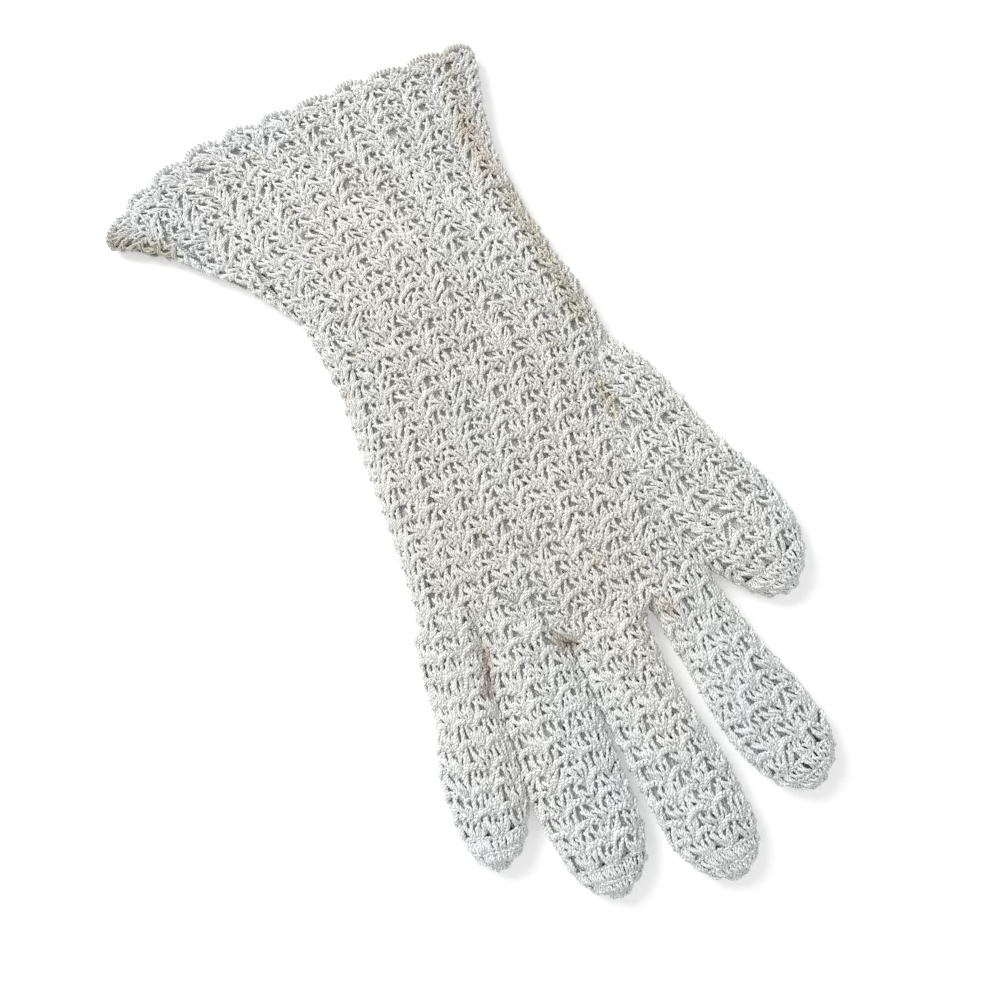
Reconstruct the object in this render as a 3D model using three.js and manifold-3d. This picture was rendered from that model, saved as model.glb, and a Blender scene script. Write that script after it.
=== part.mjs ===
// Crocheted gauntlet glove for the right hand, lying flat on its palm.
// Millimetres. +Y points to the fingertips, -X is the thumb side and +Z is up.

import * as THREE from 'three';
import Module from 'manifold-3d';
import { mergeVertices } from 'three/addons/utils/BufferGeometryUtils.js';

const wasm = await Module();
wasm.setup();

// Crochet fabric
const WALL = 1.7;
const SEAM = 0.3;
const HAND_ROW = 5.7;
const CUFF_ROW = 4.8;
const FINGER_ROW = 5.5;
const HAND_RELIEF = 0.7;
const FINGER_RELIEF = 1.1;

// Hand, from the wrist seam to the crotch between index and middle finger
const HAND_LENGTH = 103;
const HAND_HEIGHT = 9.6;
const WRIST_WIDTH = 73.6;
const WRIST_LEAN = 10.6;
const FOLD_HEIGHT = 0.9;
const FOLD_WIDTH = 7;
const PRESSED_DEPTH = 1.3;

// Cuff, from the wrist seam to the edging
const CUFF_LENGTH = 71;
const HEM_WIDTH = 125;
const HEM_LEAN = 5.6;
const HEM_HEIGHT = 8;
const HEM_SWEEP_LITTLE = 14.6;
const HEM_SWEEP_THUMB = 4.5;
const SWEEP_SHARPNESS = 4.5;

// Edging, the last round of shells
const EDGING_DEPTH = 5.6;
const EDGING_SEAM = 0.6;
const SCALLOP_DEPTH = 2.6;
const SCALLOPS_ON_BACK = 11;

// Fingers and thumb
const KNUCKLE_WIDTH = 79.6;
const FINGER_LENGTH = 72.5;
const FINGER_WIDTH = 25;
const FINGER_HEIGHT = 8.4;
const TIP_WALL = 2.7;
const THUMB_CROTCH = 3;
const THUMB_LENGTH = 60;
const THUMB_WIDTH = 27;
const THUMB_SPLAY = 11.2;
const THUMB_RISE = 42;
const THUMB_ROOT_OUT = 5.7;
const THUMB_ROOT_REACH = 32;
const THUMB_ROOT_WALL = 3.4;
const THUMB_PASSAGE = 7;
const THUMB_OPEN_SHARE = 0.4;

// Open gaps between the shells, through the back and the palm
const GAP_WIDTH = 2;
const GAP_LENGTH = 2.2;
const GAP_COLUMN = 8.3;
const GAP_MARGIN = 7;
const GAP_ROWS = 3;

// Points round one section of the hand or the cuff, of a finger, and of one scallop
const HAND_POINTS = 24;
const FINGER_POINTS = 14;
const SCALLOP_POINTS = 4;

// The four fingers from the thumb side on: share of the width along the knuckles, shares of
// the length of the longest and the width of the widest finger, slant to the hand's axis in
// degrees, and how far the crotch beyond the finger lies behind the crotch between index and
// middle finger, as a share of the hand's length.
const FINGERS = [
  { name: 'index_finger', knuckle: 0.229, width: 0.96, length: 0.866, splay: 5.2, crotch: 0 },
  { name: 'middle_finger', knuckle: 0.326, width: 0.94, length: 1, splay: -0.8, crotch: 0.03 },
  { name: 'ring_finger', knuckle: 0.199, width: 1, length: 0.99, splay: -6.4, crotch: 0.175 },
  { name: 'little_finger', knuckle: 0.246, width: 0.84, length: 0.83, splay: -14.2, crotch: 0.165 },
];

// Which finger presses in the one beside it, as places in the list above.
const PRESSED_BY = { index_finger: 1, ring_finger: 1, little_finger: 2 };

// Side edges of each finger: shares of its length and of its widest width.
const FINGER_EDGES = {
  index_finger: [
    { along: 0.0, left: -0.40, right: 0.38, height: 1.0 },
    { along: 0.18, left: -0.385, right: 0.41, height: 1.0 },
    { along: 0.4, left: -0.425, right: 0.455, height: 1.0 },
    { along: 0.6, left: -0.5, right: 0.49, height: 1.0 },
    { along: 0.78, left: -0.52, right: 0.45, height: 0.97 },
    { along: 0.9, left: -0.465, right: 0.36, height: 0.9 },
    { along: 0.96, left: -0.36, right: 0.23, height: 0.78 },
    { along: 1.0, left: -0.17, right: 0.06, height: 0.55 },
  ],
  middle_finger: [
    { along: 0.0, left: -0.5, right: 0.5, height: 1.0 },
    { along: 0.15, left: -0.4, right: 0.5, height: 1.0 },
    { along: 0.35, left: -0.4, right: 0.52, height: 1.0 },
    { along: 0.6, left: -0.48, right: 0.52, height: 1.0 },
    { along: 0.8, left: -0.46, right: 0.51, height: 0.97 },
    { along: 0.9, left: -0.42, right: 0.42, height: 0.9 },
    { along: 0.96, left: -0.32, right: 0.3, height: 0.78 },
    { along: 1.0, left: -0.14, right: 0.12, height: 0.55 },
  ],
  ring_finger: [
    { along: 0.0, left: -0.4, right: 0.46, height: 1.0 },
    { along: 0.2, left: -0.45, right: 0.52, height: 1.0 },
    { along: 0.45, left: -0.45, right: 0.53, height: 1.0 },
    { along: 0.62, left: -0.45, right: 0.565, height: 1.0 },
    { along: 0.8, left: -0.43, right: 0.49, height: 0.97 },
    { along: 0.9, left: -0.37, right: 0.43, height: 0.9 },
    { along: 0.96, left: -0.25, right: 0.31, height: 0.78 },
    { along: 1.0, left: -0.08, right: 0.14, height: 0.55 },
  ],
  little_finger: [
    { along: 0.0, left: -0.41, right: 0.45, height: 1.0 },
    { along: 0.2, left: -0.38, right: 0.455, height: 1.0 },
    { along: 0.36, left: -0.4, right: 0.43, height: 1.0 },
    { along: 0.6, left: -0.485, right: 0.52, height: 1.0 },
    { along: 0.75, left: -0.485, right: 0.48, height: 0.97 },
    { along: 0.88, left: -0.4, right: 0.4, height: 0.9 },
    { along: 0.96, left: -0.24, right: 0.3, height: 0.78 },
    { along: 1.0, left: -0.06, right: 0.12, height: 0.55 },
  ],
};

// Thumb edges. Rows below 0 are its gusset, as shares of the reach behind the thumb's root.
const THUMB_EDGES = [
  { along: -1.0, left: -0.3, right: 0.5, height: 0.8 },
  { along: -0.33, left: -0.47, right: 0.6, height: 1.0 },
  { along: 0.0, left: -0.48, right: 0.62, height: 1.0 },
  { along: 0.25, left: -0.5, right: 0.62, height: 1.0 },
  { along: 0.5, left: -0.58, right: 0.56, height: 1.0 },
  { along: 0.72, left: -0.56, right: 0.48, height: 0.97 },
  { along: 0.85, left: -0.49, right: 0.37, height: 0.92 },
  { along: 0.95, left: -0.33, right: 0.23, height: 0.8 },
  { along: 1.0, left: -0.12, right: 0.05, height: 0.55 },
];

// Side edges of the hand: share of its length, and share of the way from the wrist's width
// to the knuckles' width on each side.
const HAND_EDGES = [
  { along: 0.0, left: 0.0, right: 0.0, fold: 1.0 },
  { along: 0.12, left: -0.2, right: 0.0, fold: 1.0 },
  { along: 0.27, left: -0.16, right: 0.16, fold: 1.0 },
  { along: 0.41, left: 0.6, right: 0.27, fold: 1.0 },
  { along: 0.52, left: 1.04, right: 0.39, fold: 0.9 },
  { along: 0.65, left: 1.14, right: 0.55, fold: 0.7 },
  { along: 0.76, left: 1.2, right: 0.72, fold: 0.5 },
  { along: 0.85, left: 1.2, right: 0.95, fold: 0.3 },
  { along: 1.0, left: 1.0, right: 1.02, fold: 0.1 },
];

// Side edges of the cuff: share of its length with the edging, share of the way from the
// wrist's width to the hem's width on each side, and how much of the hem's sweep it has.
const CUFF_EDGES = [
  { along: 0.0, left: 0.0, right: 0.0, sweep: 0.0 },
  { along: 0.14, left: -0.05, right: 0.01, sweep: 0.02 },
  { along: 0.25, left: -0.05, right: 0.07, sweep: 0.07 },
  { along: 0.5, left: 0.09, right: 0.33, sweep: 0.25 },
  { along: 0.75, left: 0.6, right: 0.615, sweep: 0.56 },
  { along: 0.9, left: 1.02, right: 0.845, sweep: 0.81 },
  { along: 1.0, left: 1.0, right: 1.0, sweep: 1.0 },
];

// Fingertips get these stations beyond their last full row, as shares of the length.
const TIP_STATIONS = [0.935, 0.975, 1.0];

// Section roundness: 2 is an ellipse, more is squarer.
const HAND_SQUARENESS = 2.7;
const FINGER_SQUARENESS = 2.4;

// A ring needs no points past this share of the way round its underside, which is flat there.
const FLAT_UNDERSIDE = 0.8;

// Steps along the hollows
const HAND_INNER_STEPS = 10;
const CUFF_INNER_STEPS = 6;
const FINGER_INNER_STEPS = 6;
const THUMB_INNER_STEPS = 6;

// Where a row's crest and valley lie in it, as shares of its pitch
const ROW_CREST = 0.25;
const ROW_VALLEY = 0.75;

// Rows stop this share of the length before the next station, and hollows narrow to their
// closed end past this share of the finger.
const ROW_CLEARANCE = 0.02;
const HOLLOW_NARROWS = 0.85;

// How far lofts and cutting blocks run past what they shape
const BEYOND = 12;

// Points nearer than this are one point.
const SAME_POINT = 1e-4;

const HAND_COTTON = 0xe8e3d6;
const CUFF_COTTON = 0xe6e2d8;
const FINGER_COTTON = 0xe3e4df;
const ROUGHNESS = 0.9;

// The knuckle line runs from the thumb's side over the crotches between the fingers.
const knuckleLine = [new THREE.Vector2(-KNUCKLE_WIDTH / 2, HAND_LENGTH - THUMB_CROTCH)];
for (const { knuckle, crotch } of FINGERS) {
  const { x } = knuckleLine[knuckleLine.length - 1];
  knuckleLine.push(new THREE.Vector2(x + knuckle * KNUCKLE_WIDTH, HAND_LENGTH * (1 - crotch)));
}

const wristEdges = { left: -WRIST_LEAN - WRIST_WIDTH / 2, right: -WRIST_LEAN + WRIST_WIDTH / 2 };
const knuckleEdges = { left: -KNUCKLE_WIDTH / 2, right: KNUCKLE_WIDTH / 2 };
const hemEdges = { left: HEM_LEAN - HEM_WIDTH / 2, right: HEM_LEAN + HEM_WIDTH / 2 };

// Value of one column of a table at a place along it, on a smooth curve through its rows.
function column(table, name, along) {
  let k = 0;
  while (k < table.length - 2 && along > table[k + 1].along) {
    k += 1;
  }
  const slope = (i) => {
    const a = table[Math.max(i - 1, 0)];
    const b = table[Math.min(i + 1, table.length - 1)];
    return (b[name] - a[name]) / (b.along - a.along);
  };
  const from = table[k];
  const to = table[k + 1];
  const span = to.along - from.along;
  const t = THREE.MathUtils.clamp((along - from.along) / span, 0, 1);
  const rise = to[name] - from[name];
  const startBend = slope(k) * span - rise;
  const endBend = rise - slope(k + 1) * span;
  return from[name] + t * rise + t * (1 - t) * ((1 - t) * startBend + t * endBend);
}

function blend(a, b, share) {
  return {
    left: THREE.MathUtils.lerp(a.left, b.left, share.left),
    right: THREE.MathUtils.lerp(a.right, b.right, share.right),
  };
}

// One closed ring of points round a flattened tube. The inset shrinks it, the swell widens
// and raises it but leaves the underside pressed flat, and the fold runs along the left edge.
function sectionRing(section, inset, swell, count) {
  const { y, left, right, height, squareness } = section;
  const centre = (left + right) / 2;
  const halfWidth = (right - left) / 2 - inset + swell;
  const halfHeight = (height + PRESSED_DEPTH) / 2;
  const middle = halfHeight - PRESSED_DEPTH;
  const ring = [];
  for (let i = 0; i < count; i += 1) {
    const angle = (2 * Math.PI * i) / count;
    if (Math.sin(angle) < -FLAT_UNDERSIDE) {
      continue;
    }
    const across = signedPower(Math.cos(angle), 2 / squareness);
    const up = signedPower(Math.sin(angle), 2 / squareness);
    const x = centre + halfWidth * across;
    const lift = up > 0 ? foldLift(section, x) + swell / 2 : 0;
    const z = Math.max(middle + (halfHeight - inset + lift) * up, inset);
    ring.push(new THREE.Vector3(x, y + sweepOf(section, across), z));
  }
  return ring;
}

function signedPower(value, power) {
  return Math.sign(value) * Math.abs(value) ** power;
}

function foldLift(section, x) {
  const fold = section.fold ?? 0;
  const distance = Math.abs(x - section.left - FOLD_WIDTH / 2) / FOLD_WIDTH;
  return fold * FOLD_HEIGHT * Math.max(0, 1 - distance * distance);
}

// The hem's ends sweep back toward the wrist, sharply on the little finger's side.
function sweepOf(section, across) {
  const sweep = section.sweep ?? 0;
  if (across > 0) {
    return sweep * HEM_SWEEP_LITTLE * across ** SWEEP_SHARPNESS;
  }
  return sweep * HEM_SWEEP_THUMB * -across;
}

// Closed surface through rings of equal count, with a cap across each end.
function loftGeometry(rings) {
  const count = rings[0].length;
  const position = rings.flat().flatMap((point) => [point.x, point.y, point.z]);
  const index = [];
  for (let r = 0; r < rings.length - 1; r += 1) {
    for (let i = 0; i < count; i += 1) {
      const next = (i + 1) % count;
      const a = r * count;
      const b = a + count;
      index.push(a + i, b + i, a + next, a + next, b + i, b + next);
    }
  }
  addCap(index, rings[0], 0, false);
  addCap(index, rings[rings.length - 1], (rings.length - 1) * count, true);
  return indexedGeometry(position, index);
}

function addCap(index, ring, start, flip) {
  const contour = ring.map((point) => new THREE.Vector2(point.x, point.z));
  for (const [a, b, c] of THREE.ShapeUtils.triangulateShape(contour, [])) {
    index.push(...(flip ? [a, c, b] : [a, b, c]).map((k) => start + k));
  }
}

// Tube open at both ends: outer rings out, inner rings back, joined at the two rims.
function openTubeGeometry(outer, inner) {
  const rings = [...outer, ...inner.toReversed()];
  const count = outer[0].length;
  const position = rings.flat().flatMap((point) => [point.x, point.y, point.z]);
  const index = [];
  for (let r = 0; r < rings.length; r += 1) {
    const a = r * count;
    const b = ((r + 1) % rings.length) * count;
    for (let i = 0; i < count; i += 1) {
      const next = (i + 1) % count;
      index.push(a + i, b + i, a + next, a + next, b + i, b + next);
    }
  }
  return indexedGeometry(position, index);
}

// Upright block over a plan outline, listed anticlockwise.
function uprightBlock(outline, bottom, top) {
  const block = new THREE.ExtrudeGeometry(new THREE.Shape(outline), {
    depth: top - bottom,
    bevelEnabled: false,
  });
  return block.translate(0, 0, bottom);
}

function indexedGeometry(position, index) {
  const geometry = new THREE.BufferGeometry();
  geometry.setAttribute('position', new THREE.Float32BufferAttribute(position, 3));
  geometry.setIndex(index);
  return geometry;
}

function toManifold(geometry) {
  const plain = geometry.clone();
  plain.deleteAttribute('normal');
  plain.deleteAttribute('uv');
  const merged = mergeVertices(plain, SAME_POINT);
  const mesh = new wasm.Mesh({
    numProp: 3,
    vertProperties: new Float32Array(merged.attributes.position.array),
    triVerts: new Uint32Array(merged.index.array),
  });
  return new wasm.Manifold(mesh);
}

function toGeometry(solid) {
  const { vertProperties, triVerts } = solid.getMesh();
  return indexedGeometry(Array.from(vertProperties), Array.from(triVerts));
}

// Stations along a tube: its start, the crest and the valley of every row up to a place,
// and then the last ones given.
function rowStations(length, row, to, last = []) {
  const rows = Math.max(2, Math.round(length / row));
  const stations = [{ along: 0, crest: -1 }];
  for (let r = 0; r < rows; r += 1) {
    stations.push({ along: (r + ROW_CREST) / rows, crest: 1 });
    stations.push({ along: (r + ROW_VALLEY) / rows, crest: -1 });
  }
  const kept = stations.filter(({ along }) => along < to - ROW_CLEARANCE);
  return [...kept, ...last.map((along) => ({ along, crest: 0 }))];
}

function plainStations(from, to, steps) {
  return Array.from({ length: steps + 1 }, (_, k) => ({
    along: THREE.MathUtils.lerp(from, to, k / steps),
    crest: 0,
  }));
}

function tubeRings(sectionAt, stations, inset, relief, count) {
  return stations.map(({ along, crest }) =>
    sectionRing(sectionAt(along), inset, (crest * relief) / 2, count));
}

function lofted(sectionAt, stations, inset, relief, count) {
  return loftGeometry(tubeRings(sectionAt, stations, inset, relief, count));
}

// Hand

function handSection(along) {
  const share = {
    left: column(HAND_EDGES, 'left', along),
    right: column(HAND_EDGES, 'right', along),
  };
  return {
    y: along * HAND_LENGTH,
    ...blend(wristEdges, knuckleEdges, share),
    height: HAND_HEIGHT,
    fold: column(HAND_EDGES, 'fold', along),
    squareness: HAND_SQUARENESS,
  };
}

// Everything on the fingers' side of the knuckle line, moved along the hand by a shift.
function beyondKnuckles(shift) {
  const far = HAND_LENGTH + 2 * FINGER_LENGTH;
  const side = KNUCKLE_WIDTH / 2 + FINGER_LENGTH;
  const line = knuckleLine.map((point) => new THREE.Vector2(point.x, point.y + shift));
  const first = line[0];
  const last = line[line.length - 1];
  const outline = [
    new THREE.Vector2(-side, first.y),
    ...line,
    new THREE.Vector2(side, last.y),
    new THREE.Vector2(side, far),
    new THREE.Vector2(-side, far),
  ];
  return toManifold(uprightBlock(outline, -BEYOND, HAND_HEIGHT + BEYOND));
}

const pastHand = { along: 1 + BEYOND / HAND_LENGTH, crest: 0 };

function handOuter() {
  const stations = [...rowStations(HAND_LENGTH, HAND_ROW, 1, [1]), pastHand];
  return toManifold(lofted(handSection, stations, 0, HAND_RELIEF, HAND_POINTS));
}

// What a neighbour of the hand keeps clear of.
function handClearance() {
  const stations = [...plainStations(0, 1, HAND_INNER_STEPS), pastHand];
  const inset = -SEAM - HAND_RELIEF / 2;
  return toManifold(lofted(handSection, stations, inset, 0, HAND_POINTS));
}

function handInner() {
  const beforeHand = { along: -BEYOND / HAND_LENGTH, crest: 0 };
  const stations = [beforeHand, ...plainStations(0, 1, HAND_INNER_STEPS), pastHand];
  return toManifold(lofted(handSection, stations, WALL, 0, HAND_POINTS));
}

// Fingers

function fingerPlacement(finger, k) {
  const base = knuckleLine[k].clone().add(knuckleLine[k + 1]).multiplyScalar(0.5);
  return new THREE.Matrix4()
    .makeTranslation(base.x, base.y, 0)
    .multiply(new THREE.Matrix4().makeRotationZ(THREE.MathUtils.degToRad(finger.splay)));
}

function fingerSection(finger, along) {
  const table = FINGER_EDGES[finger.name];
  const place = Math.max(along, 0);
  const width = finger.width * FINGER_WIDTH;
  return {
    y: along * finger.length * FINGER_LENGTH,
    left: column(table, 'left', place) * width,
    right: column(table, 'right', place) * width,
    height: column(table, 'height', place) * FINGER_HEIGHT,
    squareness: FINGER_SQUARENESS,
  };
}

// The finger's lofts start behind the slanted stretch of the knuckle line that they meet.
function fingerLoft(finger, k, stations, inset, relief) {
  const slant = Math.abs(knuckleLine[k].y - knuckleLine[k + 1].y);
  const behind = (slant + BEYOND) / 2 / (finger.length * FINGER_LENGTH);
  const root = { along: -behind, crest: stations[0].crest };
  const section = (along) => fingerSection(finger, along);
  const geometry = lofted(section, [root, ...stations], inset, relief, FINGER_POINTS);
  return toManifold(geometry.applyMatrix4(fingerPlacement(finger, k)));
}

function fingerOuter(finger, k) {
  const length = finger.length * FINGER_LENGTH;
  const rows = rowStations(length, FINGER_ROW, TIP_STATIONS[0], TIP_STATIONS);
  return fingerLoft(finger, k, rows, 0, FINGER_RELIEF);
}

// What a neighbour of the finger keeps clear of, grown by a distance beyond its rows.
function fingerClearance(finger, k, distance) {
  const steps = plainStations(0, HOLLOW_NARROWS, FINGER_INNER_STEPS);
  const stations = [...steps, { along: 1, crest: 0 }];
  return fingerLoft(finger, k, stations, -distance - FINGER_RELIEF / 2, 0);
}

// Stations of a hollow that narrows to a closed end.
function hollowStations(from, length, steps) {
  const end = 1 - TIP_WALL / length;
  return [
    ...plainStations(from, HOLLOW_NARROWS, steps),
    { along: (HOLLOW_NARROWS + end) / 2, crest: 0 },
    { along: end, crest: 0 },
  ];
}

function fingerInner(finger, k) {
  const stations = hollowStations(0, finger.length * FINGER_LENGTH, FINGER_INNER_STEPS);
  return fingerLoft(finger, k, stations, WALL, 0);
}

// Thumb

const thumbRoot = new THREE.Vector2(
  knuckleEdges.left - THUMB_ROOT_OUT,
  HAND_LENGTH - THUMB_CROTCH - THUMB_RISE,
);

function thumbPlacement() {
  return new THREE.Matrix4()
    .makeTranslation(thumbRoot.x, thumbRoot.y, 0)
    .multiply(new THREE.Matrix4().makeRotationZ(THREE.MathUtils.degToRad(THUMB_SPLAY)));
}

// Below its root the thumb's gusset runs back under the hand's fold.
function thumbSection(along) {
  const reach = along < 0 ? THUMB_ROOT_REACH : THUMB_LENGTH;
  return {
    y: along * reach,
    left: column(THUMB_EDGES, 'left', along) * THUMB_WIDTH,
    right: column(THUMB_EDGES, 'right', along) * THUMB_WIDTH,
    height: column(THUMB_EDGES, 'height', along) * FINGER_HEIGHT,
    squareness: FINGER_SQUARENESS,
  };
}

function thumbOuter() {
  const gusset = rowStations(THUMB_ROOT_REACH, FINGER_ROW, 1)
    .map(({ along, crest }) => ({ along: along - 1, crest }));
  const rows = rowStations(THUMB_LENGTH, FINGER_ROW, TIP_STATIONS[0], TIP_STATIONS);
  const geometry = lofted(thumbSection, [...gusset, ...rows], 0, FINGER_RELIEF, FINGER_POINTS);
  return toManifold(geometry.applyMatrix4(thumbPlacement()));
}

// The thumb's hollow, reaching in toward the hand along the stretch where it opens into it.
function thumbInner(reachIn) {
  const start = -1 + THUMB_ROOT_WALL / THUMB_ROOT_REACH;
  const stations = hollowStations(start, THUMB_LENGTH, THUMB_INNER_STEPS);
  const section = (along) => {
    const plain = thumbSection(along);
    return { ...plain, right: plain.right + (along < THUMB_OPEN_SHARE ? reachIn : 0) };
  };
  const geometry = lofted(section, stations, WALL, 0, FINGER_POINTS);
  return toManifold(geometry.applyMatrix4(thumbPlacement()));
}

// Cuff and edging

const cuffTotal = CUFF_LENGTH + EDGING_DEPTH;

function cuffSection(along) {
  const share = {
    left: column(CUFF_EDGES, 'left', along),
    right: column(CUFF_EDGES, 'right', along),
  };
  return {
    y: -along * cuffTotal - SEAM,
    ...blend(wristEdges, hemEdges, share),
    height: THREE.MathUtils.lerp(HAND_HEIGHT, HEM_HEIGHT, along),
    fold: 1,
    sweep: column(CUFF_EDGES, 'sweep', along),
    squareness: HAND_SQUARENESS,
  };
}

function cuffGeometry() {
  const end = CUFF_LENGTH / cuffTotal;
  const rows = rowStations(cuffTotal, CUFF_ROW, end, [end]);
  const outer = tubeRings(cuffSection, rows, 0, HAND_RELIEF, HAND_POINTS);
  const steps = plainStations(0, end, CUFF_INNER_STEPS);
  const inner = tubeRings(cuffSection, steps, WALL, 0, HAND_POINTS);
  return openTubeGeometry(outer.toReversed(), inner.toReversed());
}

// The edging's rings have even points along the cuff's ring, so that every scallop gets as many.
function edgingRing(along, inset, swell, scallop) {
  const corners = sectionRing(cuffSection(along), inset, swell, HAND_POINTS);
  const count = 2 * SCALLOPS_ON_BACK * SCALLOP_POINTS;
  const lengths = [0];
  for (let i = 1; i <= corners.length; i += 1) {
    lengths.push(lengths[i - 1] + corners[i % corners.length].distanceTo(corners[i - 1]));
  }
  const total = lengths[corners.length];
  const ring = [];
  let k = 0;
  for (let i = 0; i < count; i += 1) {
    const target = (total * i) / count;
    while (lengths[k + 1] < target) {
      k += 1;
    }
    const share = (target - lengths[k]) / (lengths[k + 1] - lengths[k]);
    const point = corners[k].clone().lerp(corners[(k + 1) % corners.length], share);
    const phase = (i % SCALLOP_POINTS) / SCALLOP_POINTS;
    point.y -= scallop * Math.sin(Math.PI * phase);
    ring.push(point);
  }
  return ring;
}

function edgingGeometry() {
  const seam = (CUFF_LENGTH + EDGING_SEAM) / cuffTotal;
  const edge = 1 - SCALLOP_DEPTH / cuffTotal;
  const outer = [
    edgingRing(seam, 0, 0, 0),
    edgingRing((seam + edge) / 2, 0, HAND_RELIEF / 2, 0),
    edgingRing(edge, 0, 0, SCALLOP_DEPTH),
  ];
  const inner = [edgingRing(seam, WALL, 0, 0), edgingRing(edge, WALL, 0, SCALLOP_DEPTH)];
  return openTubeGeometry(outer.toReversed(), inner.toReversed());
}

// Open gaps between the rows' crests and valleys, in every second column, staggered.
function gapBlocks(sectionAt, length, row, depth) {
  const blocks = [];
  const rows = Math.round(length / row);
  let shifted = false;
  for (let r = 1; r * row + GAP_LENGTH < depth; r += GAP_ROWS) {
    const along = (r + (ROW_CREST + ROW_VALLEY) / 2) / rows;
    shifted = !shifted;
    const section = sectionAt(along);
    const width = section.right - section.left - 2 * GAP_MARGIN;
    const columns = Math.floor(width / GAP_COLUMN);
    for (let c = shifted ? 0 : 1; c <= columns; c += 2) {
      const x = section.left + GAP_MARGIN + (width * c) / columns;
      const across = (2 * (x - section.left)) / (section.right - section.left) - 1;
      const y = section.y + sweepOf(section, across);
      const outline = [
        new THREE.Vector2(x - GAP_WIDTH / 2, y),
        new THREE.Vector2(x, y - GAP_LENGTH / 2),
        new THREE.Vector2(x + GAP_WIDTH / 2, y),
        new THREE.Vector2(x, y + GAP_LENGTH / 2),
      ];
      blocks.push(toManifold(uprightBlock(outline, -BEYOND, HAND_HEIGHT + BEYOND)));
    }
  }
  return blocks;
}

function pierced(solid, blocks) {
  return blocks.reduce((rest, block) => rest.subtract(block), solid);
}

// Solids of the sub-parts

const handHollow = handInner();
const fingerHollows = FINGERS.map((finger, k) => fingerInner(finger, k));

function handSolid() {
  let solid = handOuter().subtract(beyondKnuckles(0));
  solid = solid.subtract(handHollow.subtract(beyondKnuckles(-WALL)));
  for (const hollow of fingerHollows) {
    solid = solid.subtract(hollow.intersect(handHollow));
  }
  solid = solid.subtract(thumbInner(THUMB_PASSAGE));
  const shortest = Math.min(...knuckleLine.map((point) => point.y));
  const gaps = gapBlocks(handSection, HAND_LENGTH, HAND_ROW, shortest);
  return pierced(solid, gaps);
}

// A finger stops at the knuckle line and at the finger that presses it in.
function fingerSolid(finger, k) {
  let outer = fingerOuter(finger, k).intersect(beyondKnuckles(SEAM));
  let hollow = fingerHollows[k];
  if (finger.name in PRESSED_BY) {
    const beside = PRESSED_BY[finger.name];
    outer = outer.subtract(fingerClearance(FINGERS[beside], beside, SEAM));
    hollow = hollow.subtract(fingerClearance(FINGERS[beside], beside, SEAM + WALL));
  }
  return outer.subtract(hollow);
}

function thumbSolid() {
  const outer = thumbOuter().subtract(handClearance()).subtract(fingerClearance(FINGERS[0], 0, SEAM));
  return outer.subtract(thumbInner(0));
}

function cuffSolid() {
  const gaps = gapBlocks(cuffSection, cuffTotal, CUFF_ROW, CUFF_LENGTH);
  return pierced(toManifold(cuffGeometry()), gaps);
}

function clothMesh(name, geometry, color) {
  const faceted = geometry.toNonIndexed();
  faceted.computeVertexNormals();
  const material = new THREE.MeshStandardMaterial({ color, roughness: ROUGHNESS, metalness: 0 });
  const mesh = new THREE.Mesh(faceted, material);
  mesh.name = name;
  return mesh;
}

// Assembly

const glove = new THREE.Group();
glove.add(clothMesh('hand', toGeometry(handSolid()), HAND_COTTON));
glove.add(clothMesh('thumb', toGeometry(thumbSolid()), FINGER_COTTON));
FINGERS.forEach((finger, k) => {
  glove.add(clothMesh(finger.name, toGeometry(fingerSolid(finger, k)), FINGER_COTTON));
});
glove.add(clothMesh('gauntlet_cuff', toGeometry(cuffSolid()), CUFF_COTTON));
glove.add(clothMesh('hem_edging', edgingGeometry(), CUFF_COTTON));

// The origin is under the middle of the whole glove, on the surface it lies on.
const box = new THREE.Box3().setFromObject(glove);
const middle = box.getCenter(new THREE.Vector3());
glove.position.set(-middle.x, -middle.y, -box.min.z);
glove.updateMatrixWorld(true);

export default glove;
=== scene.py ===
"""Crocheted gauntlet glove: every shell stitch as strands of cotton thread, laid over the solids."""

import math

import bpy
import numpy as np
from mathutils import Matrix, Vector


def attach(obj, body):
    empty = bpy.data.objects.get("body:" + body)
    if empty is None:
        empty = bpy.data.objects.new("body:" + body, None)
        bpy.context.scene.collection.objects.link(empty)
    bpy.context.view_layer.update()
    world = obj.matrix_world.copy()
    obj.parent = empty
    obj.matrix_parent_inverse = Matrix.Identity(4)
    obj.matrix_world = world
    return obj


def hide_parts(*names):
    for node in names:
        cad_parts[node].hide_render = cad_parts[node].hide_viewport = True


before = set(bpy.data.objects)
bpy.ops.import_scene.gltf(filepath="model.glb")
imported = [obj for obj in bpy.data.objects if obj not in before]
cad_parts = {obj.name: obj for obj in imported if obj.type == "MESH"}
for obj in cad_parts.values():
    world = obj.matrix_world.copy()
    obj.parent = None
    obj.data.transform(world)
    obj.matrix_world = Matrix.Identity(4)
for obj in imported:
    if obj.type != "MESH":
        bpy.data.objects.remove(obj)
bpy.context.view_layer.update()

# Sizes are in millimetres and turn into metres where a mesh is made.
MM = 0.001
rng = np.random.default_rng(7)

# Where the middle of the wrist seam lies in the row frame
WRIST_PLACE = (1.745, -48.552)

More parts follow.
